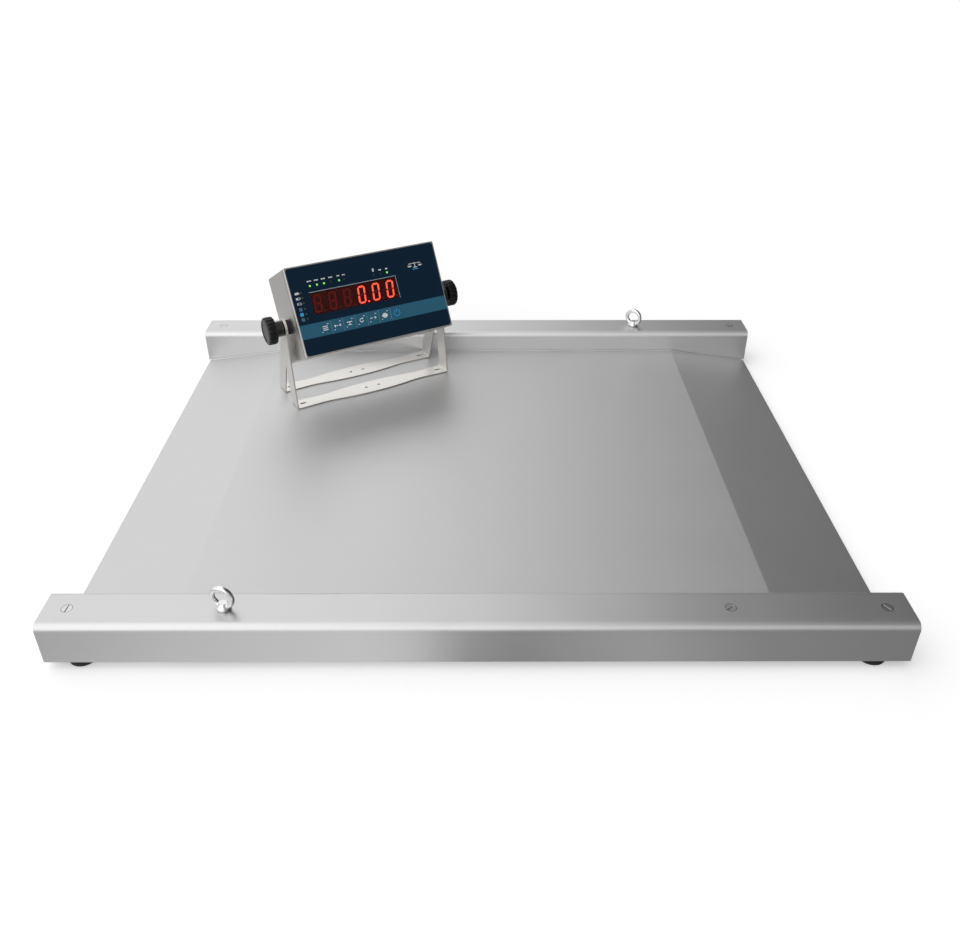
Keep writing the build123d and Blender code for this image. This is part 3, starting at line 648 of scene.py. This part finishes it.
def roundedBox(left, low, right, high, radius=0.0, steps=5):
    # corners of a rectangle, rounded by quarter circles
    if radius <= 0:
        return np.array([(left, low), (right, low), (right, high), (left, high)], float)
    centres = [(right - radius, low + radius), (right - radius, high - radius),
               (left + radius, high - radius), (left + radius, low + radius)]
    turns = [-90, 0, 90, 180]
    arcs = []
    for (x, y), start in zip(centres, turns):
        angle = np.radians(start + np.linspace(0, 90, steps))
        arcs.append(np.stack([x + radius * np.cos(angle), y + radius * np.sin(angle)], axis=-1))
    return np.concatenate(arcs)


def ringArc(x, y, inner, outer, start, end, steps=28):
    # part of a flat ring, as one outline
    angle = np.radians(np.linspace(start, end, steps))
    outside = np.stack([x + outer * np.cos(angle), y + outer * np.sin(angle)], axis=-1)
    inside = np.stack([x + inner * np.cos(angle[::-1]), y + inner * np.sin(angle[::-1])], axis=-1)
    return np.concatenate([outside, inside])


# digits

digitSet = {
    "first": -108.0, "pitch": 28.1, "low": 74.0, "width": 14.6, "height": 31.5,
    "bar": 3.1, "gap": 0.45, "slant": 6.0, "count": 6, "litFrom": 3,
    "pointX": 19.6, "pointSize": 1.7, "front": 2.9, "depth": 0.3,
}


def segmentOutline(x0, y0, x1, y1, half):
    # a bar with pointed ends between two points
    start = np.array([x0, y0], float)
    end = np.array([x1, y1], float)
    along = (end - start) / np.linalg.norm(end - start)
    side = np.array([-along[1], along[0]])
    inset = along * half
    return np.array([start, start + inset - side * half, end - inset - side * half, end,
                     end - inset + side * half, start + inset + side * half])


def digitBars(number):
    # seven bars of one digit, slanted, in the order top, upper right, lower right, bottom, left pair, middle
    d = digitSet
    half = d["bar"] / 2
    left = half
    right = d["width"] - half
    low = half
    high = d["height"] - half
    middle = d["height"] / 2
    gap = d["gap"]
    ends = [
        (left + gap, high, right - gap, high),
        (right, middle + gap, right, high - gap),
        (right, low + gap, right, middle - gap),
        (left + gap, low, right - gap, low),
        (left, low + gap, left, middle - gap),
        (left, middle + gap, left, high - gap),
        (left + gap, middle, right - gap, middle),
    ]
    lean = math.tan(math.radians(d["slant"]))
    origin = np.array([d["first"] + d["pitch"] * number, d["low"]])
    bars = [segmentOutline(*end, half) for end in ends]
    return [np.stack([bar[:, 0] + bar[:, 1] * lean, bar[:, 1]], axis=-1) + origin for bar in bars]


def digitPoint(number):
    # decimal point: a circle at the digit's lower right
    d = digitSet
    x = d["first"] + d["pitch"] * number + d["pointX"]
    angle = circleAngles(16)
    return np.stack([x + d["pointSize"] * np.cos(angle),
                     d["low"] + d["pointSize"] * (1 + np.sin(angle))], axis=-1)


def makeDigits():
    # the last three digits read zero, with a point after the first of them, and all other bars are unlit,
    # with a faint painted glow standing in for light on their faces
    lit = []
    ghost = []
    for number in range(digitSet["count"]):
        bars = digitBars(number)
        on = number >= digitSet["litFrom"]
        lit += bars[:6] if on else []
        ghost += bars[6:] if on else bars
        (lit if number == digitSet["litFrom"] else ghost).append(digitPoint(number))
    front = digitSet["front"]
    prismPiece("digitsLit", lit, front, digitSet["depth"], "lit", "head")
    prismPiece("digitsUnlit", ghost, front, digitSet["depth"], "ghost", "head")


# print on the film

printSet = {
    "front": -0.47,
    "depth": 0.09,
    "keyPitch": 23.16,
    "firstKey": -98.0,
    "powerX": 42.0,
    "keyZ": 45.0,
}


keyPlaces = [printSet["firstKey"] + printSet["keyPitch"] * number for number in range(6)]


def bars(places, width, height, radius=0.3):
    # equal bars centred on the places
    return [
        roundedBox(x - width / 2, y - height / 2, x + width / 2, y + height / 2, radius) for x, y in places
    ]


labelSet = {
    "rows": {
        -106.5: (3.2, 1.6, 1.6), -93.3: (2.2, 2.6, 1.2), -80.0: (3.4, 3.0), -66.3: (2.0, 2.0, 2.0),
        -51.4: (1.6, 2.6), -41.1: (2.4, 1.8),
    },
    "low": 129.2,
    "high": 131.2,
    "space": 0.7,
    "marks": {16.0: 2.6, 29.0: 4.8, 42.0: 4.4},
    "markZ": 126.4,
    "markHeight": 2.0,
    "batteries": {113.0: 1.0, 104.0: 0.55, 95.0: 0.15},
    "batteryLeft": -137.2,
    "batteryRight": -129.8,
    "batteryHalf": 1.9,
    "wall": 0.5,
    "inset": 0.8,
    "squareX": -133.6,
    "squareSize": 6.0,
}


def batteryMark(z, fill):
    # an outline of four walls, its pole, and a bar for the charge
    left, right, half = labelSet["batteryLeft"], labelSet["batteryRight"], labelSet["batteryHalf"]
    wall, inset = labelSet["wall"], labelSet["inset"]
    charge = (right - left - 2 * inset) * fill
    return [
        roundedBox(left, z - half, right, z - half + wall),
        roundedBox(left, z + half - wall, right, z + half),
        roundedBox(left, z - half, left + wall, z + half),
        roundedBox(right - wall, z - half, right, z + half),
        roundedBox(right, z - inset, right + inset, z + inset),
        roundedBox(left + inset, z - half + inset, left + inset + charge, z + half - inset),
    ]


def balanceMark():
    # beam, post and foot, and a pan with two cords at each end
    marks = [
        roundedBox(87.6, 126.0, 110.4, 126.9, 0.4),
        roundedBox(98.4, 119.4, 99.6, 128.2, 0.4),
        roundedBox(94.6, 118.6, 103.4, 119.5, 0.4),
    ]
    for x in (88.4, 109.6):
        marks.append(np.array([(x - 4.0, 122.4), (x + 4.0, 122.4), (x + 2.4, 120.6), (x - 2.4, 120.6)]))
        for side in (-1, 1):
            end = x + side * 3.4
            cord = [(x - 0.2, 126.2), (x + 0.2, 126.2), (end + 0.3, 122.3), (end - 0.3, 122.3)]
            marks.append(np.array(cord))
    return marks


def makeLabels():
    # small plain marks over the lamps, battery marks beside the left column, and a balance mark at the right
    white = []
    for x, widths in labelSet["rows"].items():
        left = x - sum(widths) / 2 - 0.5
        for width in widths:
            white.append(roundedBox(left, labelSet["low"], left + width, labelSet["high"], 0.3))
            left += width + labelSet["space"]
    for x, width in labelSet["marks"].items():
        white += bars([(x, labelSet["markZ"])], width, labelSet["markHeight"], 0.4)
    white.append(np.array([(13.6, 128.0), (18.4, 128.0), (16.0, 132.0)]))
    for z, fill in labelSet["batteries"].items():
        white += batteryMark(z, fill)
    white += balanceMark()
    front, depth = printSet["front"], printSet["depth"]
    prismPiece("printWhite", white, front, depth, "inkWhite", "head")
    x, size = labelSet["squareX"], labelSet["squareSize"]
    squares = bars([(x, 85.0), (x, 67.0)], size, size, 0.8)
    prismPiece("printTeal", squares, front, depth, "inkTeal", "head")
    sky = bars([(x, 76.0)], size, size, 0.8) + bars([(99.0, 115.8)], 12.0, 1.2, 0.5)
    prismPiece("printSky", sky, front, depth, "inkSky", "head")
    dashes = []
    for x in keyPlaces:
        edge = x + printSet["keyPitch"] / 2
        dashes += bars([(edge, 36.0 + 3.6 * step) for step in range(6)], 0.55, 2.2)
    prismPiece("printDashes", dashes, front, depth, "inkPale", "head")


def keyMarks(x, z):
    # six plain key marks: list, arrows to a point, weigh pan, turn arrow, plus and minus, printer
    menu = bars([(x, z + 3.2), (x, z), (x, z - 3.2)], 9.6, 1.3)
    zero = [
        np.array([(x - 6, z + 2.6), (x - 2.2, z), (x - 6, z - 2.6)]),
        np.array([(x + 6, z + 2.6), (x + 2.2, z), (x + 6, z - 2.6)]),
        roundedBox(x - 0.9, z - 0.9, x + 0.9, z + 0.9, 0.6),
    ]
    pan = [
        roundedBox(x - 5.4, z + 1.4, x + 5.4, z + 2.6, 0.4),
        roundedBox(x - 0.7, z - 2.6, x + 0.7, z + 1.8, 0.3),
        roundedBox(x - 3.8, z - 3.6, x + 3.8, z - 2.5, 0.4),
    ]
    turn = [
        ringArc(x, z, 2.5, 3.6, 60, 350),
        np.array([(x + 1.2, z + 4.9), (x + 1.2, z + 1.5), (x + 4.4, z + 3.2)]),
    ]
    sums = [
        roundedBox(x - 6.2, z - 0.6, x - 1.4, z + 0.6, 0.3),
        roundedBox(x + 1.2, z - 0.6, x + 6.0, z + 0.6, 0.3),
        roundedBox(x + 3.0, z - 2.4, x + 4.2, z + 2.4, 0.3),
    ]
    printer = [
        roundedBox(x - 5.4, z - 2.0, x + 5.4, z + 1.6, 0.6),
        roundedBox(x - 3.4, z + 2.1, x + 3.4, z + 3.9, 0.3),
        roundedBox(x - 3.4, z - 4.3, x + 3.4, z - 2.5, 0.3),
    ]
    return [menu, zero, pan, turn, sums, printer]


def makeKeyMarks():
    # each key's mark rides on its own key
    front, depth, z = printSet["front"], printSet["depth"], printSet["keyZ"]
    for number, x in enumerate(keyPlaces):
        marks = keyMarks(x, z)[number]
        small = bars([(x - 6.6, z - 6.4)], 1.8, 1.2) + bars([(x + 5.8, z + 7.0)], 3.0, 1.0)
        body = f"key_{number + 1}"
        prismPiece(f"keyMark{number + 1}", marks + small, front, depth, "inkWhite", body)
    x = printSet["powerX"]
    ring = [ringArc(x, z, 5.2, 6.6, 118, 422), roundedBox(x - 0.7, z + 1.2, x + 0.7, z + 7.4, 0.5)]
    prismPiece("powerMark", ring, front, depth, "inkBlue", "key_power")


def makeWindowRim():
    # bright cut edge of the film along the window's top and right
    left, right, low, high = -111.4, 55.4, 70.6, 110.4
    edge = [roundedBox(left, high, right + 0.9, high + 0.9), roundedBox(right, low, right + 0.9, high)]
    prismPiece("windowEdge", edge, printSet["front"], printSet["depth"], "inkPale", "head")


lampSet = {
    "radius": 1.75,
    "rise": 0.7,
    "top": [(-106.5, 1), (-93.3, 1), (-80.0, 1), (-66.3, 0), (-51.4, 1), (-41.1, 0)],
    "right": [(16.0, 0), (29.0, 0), (42.0, 1)],
    "column": [113.0, 104.0, 95.0, 85.0, 76.0, 67.0],
    "topZ": 122.0,
    "rightZ": 119.5,
    "columnX": -125.3,
}


def makeLamps(name, places, finish):
    # shallow domes: height falls with the cosine of the way out from the middle
    rings, turns = 5, 20
    way = np.linspace(0.06, 1, rings)[:, None] * np.pi / 2
    angle = circleAngles(turns)[None, :]
    face = headSet["filmFace"]
    points = []
    faces = []
    for number, (x, z) in enumerate(places):
        out = lampSet["radius"] * np.sin(way)
        rise = face - 0.02 - lampSet["rise"] * np.cos(way) + 0 * angle
        first = number * (rings * turns + turns)
        points.append(headPoint(x + out * np.cos(angle), rise, z + out * np.sin(angle)).reshape(-1, 3))
        rim = lampSet["radius"]
        points.append(headPoint(x + rim * np.cos(angle[0]), face + 0.1, z + rim * np.sin(angle[0])))
        faces += gridFaces(rings + 1, turns, wrapColumns=True, first=first)
        faces.append(list(range(first, first + turns))[::-1])
        faces.append(list(range(first + rings * turns, first + (rings + 1) * turns)))
    piece = meshPiece(name, np.concatenate(points), faces, finish, "head")
    recalculate(piece)


def recalculate(piece):
    # faces outwards, for shapes whose winding is not known beforehand
    shape = bmesh.new()
    shape.from_mesh(piece.data)
    bmesh.ops.recalc_face_normals(shape, faces=shape.faces)
    shape.to_mesh(piece.data)
    shape.free()


makeDigits()
makeLabels()
makeKeyMarks()
makeWindowRim()
for name, wanted, finish in (("lampsOn", 1, "lampOn"), ("lampsOff", 0, "lampOff")):
    places = [(x, lampSet["topZ"]) for x, on in lampSet["top"] if on == wanted]
    places += [(x, lampSet["rightZ"]) for x, on in lampSet["right"] if on == wanted]
    makeLamps(name, places, finish)
makeLamps("lampsDim", [(lampSet["columnX"], z) for z in lampSet["column"]], "lampDim")
print("front panel made")


# turned pieces: knobs and eyebolts

knobSet = {
    "radius": 25.0, "rim": 17.0, "hub": 14.0, "start": 158.3, "end": 190.0,
    "flutes": 18, "fluteDepth": 1.9, "dish": 0.5, "stepsPerFlute": 12,
}


def makeKnob(side, name):
    # profile carried round the stud's axis; the rim's radius dips in rounded flutes
    k = knobSet
    start, end, hub, full, floorX = k["start"], k["end"], k["hub"], k["radius"], k["end"] - k["dish"]
    rim = end - k["rim"]
    profile = np.array([
        (start, 4.1), (start, 12.6), (start + 0.4, 13.6), (start + 1.2, hub),
        (rim - 1.6, hub), (rim - 0.5, hub + 0.6), (rim, hub + 2.0), (rim, 21.4),
        (rim + 0.5, full - 1.6), (rim + 1.6, full - 0.4), (rim + 3.0, full), (rim + 6.0, full),
        (rim + 9.0, full), (end - 3.2, full), (end - 1.7, full - 0.4), (end - 0.6, full - 1.4),
        (end, 22.0), (end, 20.8), (floorX, 20.2), (floorX, 12.0), (floorX, 5.0), (floorX, 0.4),
    ])
    turns = k["flutes"] * k["stepsPerFlute"]
    angle = circleAngles(turns)[None, :]
    along = profile[:, :1] + 0 * angle
    radius = profile[:, 1:] + 0 * angle
    onRim = np.clip((radius - 22.0) / 2.6, 0, 1)
    groove = (0.5 + 0.5 * np.cos(k["flutes"] * angle)) ** 3
    radius = radius - k["fluteDepth"] * groove * onRim
    pivotZ = headSet["pivotUp"] * 1000
    pivotY = headSet["pivotBack"] * 1000
    points = headPoint(side * along, pivotY + radius * np.cos(angle), pivotZ + radius * np.sin(angle))
    rows = len(profile)
    faces = gridFaces(rows, turns, wrapColumns=True)
    faces.append(list(range((rows - 1) * turns, rows * turns)))
    faces.append(list(range(turns))[::-1])
    piece = meshPiece(name + "Skin", points, faces, "knob", name)
    recalculate(piece)
    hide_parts(name)


makeKnob(-1, "knob_left")
makeKnob(1, "knob_right")

eyeSet = {
    "major": 0.014, "wire": 0.004, "height": 0.036, "voxel": 0.00045,
    "ringSteps": 72, "wireSteps": 24, "collarSteps": 48,
}


def makeEyebolt(node, turnDegrees, name):
    # ring: a circle carried round a circle, thicker by a squared cosine at top and foot
    # collar: a turned profile; both are fused and smoothed like a forging
    low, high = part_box(node)
    middle = (low + high) / 2
    seat = high.z - eyeSet["height"]
    ringZ = high.z - eyeSet["major"] - eyeSet["wire"]
    turn = math.radians(turnDegrees)
    ringTurn = circleAngles(eyeSet["ringSteps"])[:, None]
    wireTurn = circleAngles(eyeSet["wireSteps"])[None, :]
    thick = eyeSet["wire"] * (1 + 0.10 * np.cos(ringTurn + np.pi / 2) ** 2)
    reach = eyeSet["major"] + (thick - 0.0002) * np.cos(wireTurn) * 0.96
    x = reach * np.cos(ringTurn)
    y = thick * 0.96 * np.sin(wireTurn) + 0 * ringTurn
    z = ringZ + reach * np.sin(ringTurn)
    ring = np.stack([x, y, z + 0 * y], axis=-1).reshape(-1, 3)
    faces = gridFaces(eyeSet["ringSteps"], eyeSet["wireSteps"], True, True)
    profile = np.array([
        (low.z, 0.0002), (low.z, 0.0036), (low.z + 0.0006, 0.0040), (seat - 0.0001, 0.0040), (seat, 0.0040),
        (seat, 0.0092), (seat + 0.0006, 0.0099), (seat + 0.0032, 0.0099), (seat + 0.0042, 0.0093),
        (seat + 0.0058, 0.0078), (seat + 0.0080, 0.0064), (seat + 0.0098, 0.0056), (seat + 0.0098, 0.0002),
    ])
    turns = eyeSet["collarSteps"]
    about = circleAngles(turns)[None, :]
    lathe = np.stack([
        profile[:, 1:] * np.cos(about),
        profile[:, 1:] * np.sin(about),
        profile[:, :1] + 0 * about,
    ], axis=-1).reshape(-1, 3)
    first = len(ring)
    last = first + (len(profile) - 1) * turns
    faces += gridFaces(len(profile), turns, wrapColumns=True, first=first)
    faces.append(list(range(first, first + turns))[::-1])
    faces.append(list(range(last, last + turns)))
    points = np.concatenate([ring, lathe])
    spin = np.array([[math.cos(turn), math.sin(turn), 0], [-math.sin(turn), math.cos(turn), 0], [0, 0, 1]])
    points = points @ spin + np.array([middle.x, middle.y, 0])
    draft = meshPiece(name, points, faces, "forging", node)
    recalculate(draft)
    fuse = draft.modifiers.new("fuse", "REMESH")
    fuse.mode = "VOXEL"
    fuse.voxel_size = eyeSet["voxel"]
    fuse.use_smooth_shade = True
    soften = draft.modifiers.new("soften", "SMOOTH")
    soften.factor = 0.5
    soften.iterations = 6
    bakeModifiers(draft)
    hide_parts(node)


def bakeModifiers(piece):
    # the modifiers' result becomes the mesh itself
    graph = bpy.context.evaluated_depsgraph_get()
    made = bpy.data.meshes.new_from_object(piece.evaluated_get(graph))
    piece.modifiers.clear()
    piece.data = made


makeEyebolt("eyebolt_near", -16.0, "eyeboltNear")
makeEyebolt("eyebolt_far", -32.0, "eyeboltFar")
print("knobs and eyebolts made")


# weld beads along the deck's two long edges

beadSet = {
    "radius": 0.0024, "ripple": 0.10, "pitch": 0.0042, "crease": 0.406, "ease": 0.01, "lip": 0.010,
    "end": 0.556, "sunk": 0.0003, "around": 12, "stepsPerRipple": 6,
}


def deckHeight(x):
    # flat in the middle, then a straight fall to the lip, with the crease eased over 20 mm
    low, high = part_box("deck_sheet")
    slope = (high.z - beadSet["lip"]) / (high.x - beadSet["crease"])
    past = np.abs(x) - beadSet["crease"]
    ease = beadSet["ease"]
    curve = (past + ease) ** 2 / (4 * ease)
    eased = np.where(past > ease, past, np.where(past < -ease, 0, curve))
    return high.z - slope * eased


def makeBead(side, name):
    # a round bead half sunk in the corner: radius swells once for each ripple along the seam
    low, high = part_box("deck_sheet")
    around = beadSet["around"]
    count = int(2 * beadSet["end"] / beadSet["pitch"]) * beadSet["stepsPerRipple"]
    x = np.linspace(-beadSet["end"], beadSet["end"], count)[:, None]
    angle = circleAngles(around)[None, :]
    swell = np.abs(np.sin(np.pi * x / beadSet["pitch"] + 0.4 * np.sin(x * 31)))
    radius = beadSet["radius"] * (1 + beadSet["ripple"] * swell + 0.12 * np.sin(x * 47 + side))
    y = side * high.y + radius * np.cos(angle)
    z = deckHeight(x) - beadSet["sunk"] + radius * np.sin(angle)
    points = np.stack([x + 0 * angle, y, z], axis=-1)
    faces = gridFaces(count, around, wrapColumns=True)
    faces.append(list(range(around)))
    faces.append(list(range((count - 1) * around, count * around))[::-1])
    piece = meshPiece(name, points, faces, "bead", "platform")
    recalculate(piece)


makeBead(-1, "weldBeadNear")
makeBead(1, "weldBeadFar")
print("weld beads made")
